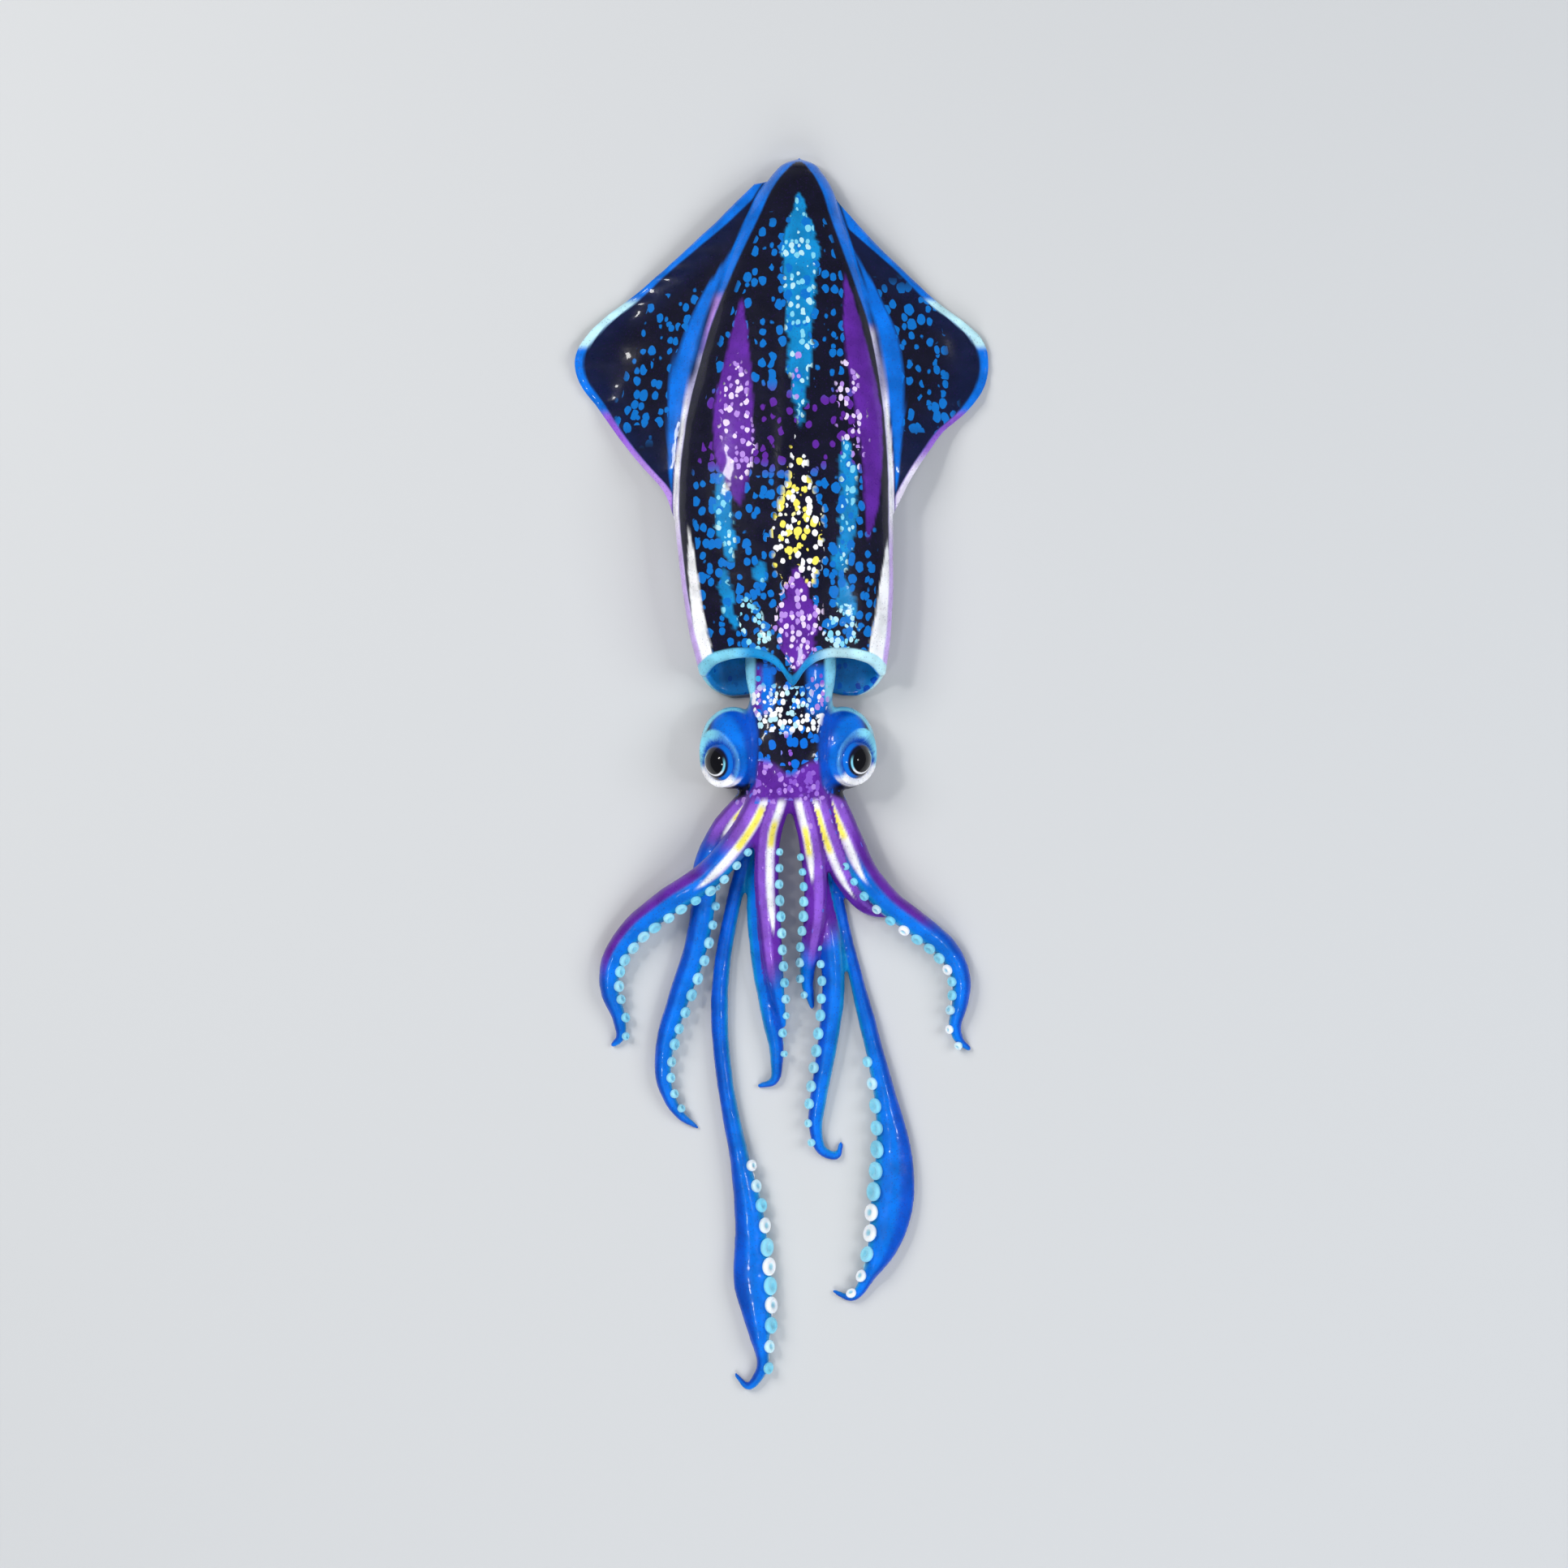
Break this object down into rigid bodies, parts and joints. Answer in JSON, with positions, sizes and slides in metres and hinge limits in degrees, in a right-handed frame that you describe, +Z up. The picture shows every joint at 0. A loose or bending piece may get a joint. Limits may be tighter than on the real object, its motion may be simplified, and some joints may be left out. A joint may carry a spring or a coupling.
{
  "type": "whole raw squid",
  "caption": "Whole raw squid lying on its belly, with a finned mantle, a head with two eyes, and suckered arms and feeding tentacles stretched out in front.",
  "frame": {"origin": "middle of the squid's plan outline, on the surface that it rests on", "axes": "+Y towards the tail tip, +Z up out of the back, +X towards the side of the right fin"},
  "size_m": [0.1587, 0.4733, 0.0339],
  "materials": {
    "mantle_skin": "wet raw squid skin: dark violet blue along the back with bright flecks, paler and bluer on the fins",
    "arm_skin": "wet raw squid skin: violet at the arm bases, blue further down, with pale suckers",
    "eye": "wet clear eyeball with a black pupil in a pale blue ring"
  },
  "bodies": {
    "root": {"mantle": "mantle_skin", "head": "arm_skin", "eye_left": "eye", "eye_right": "eye"}
  },
  "joints": []
}
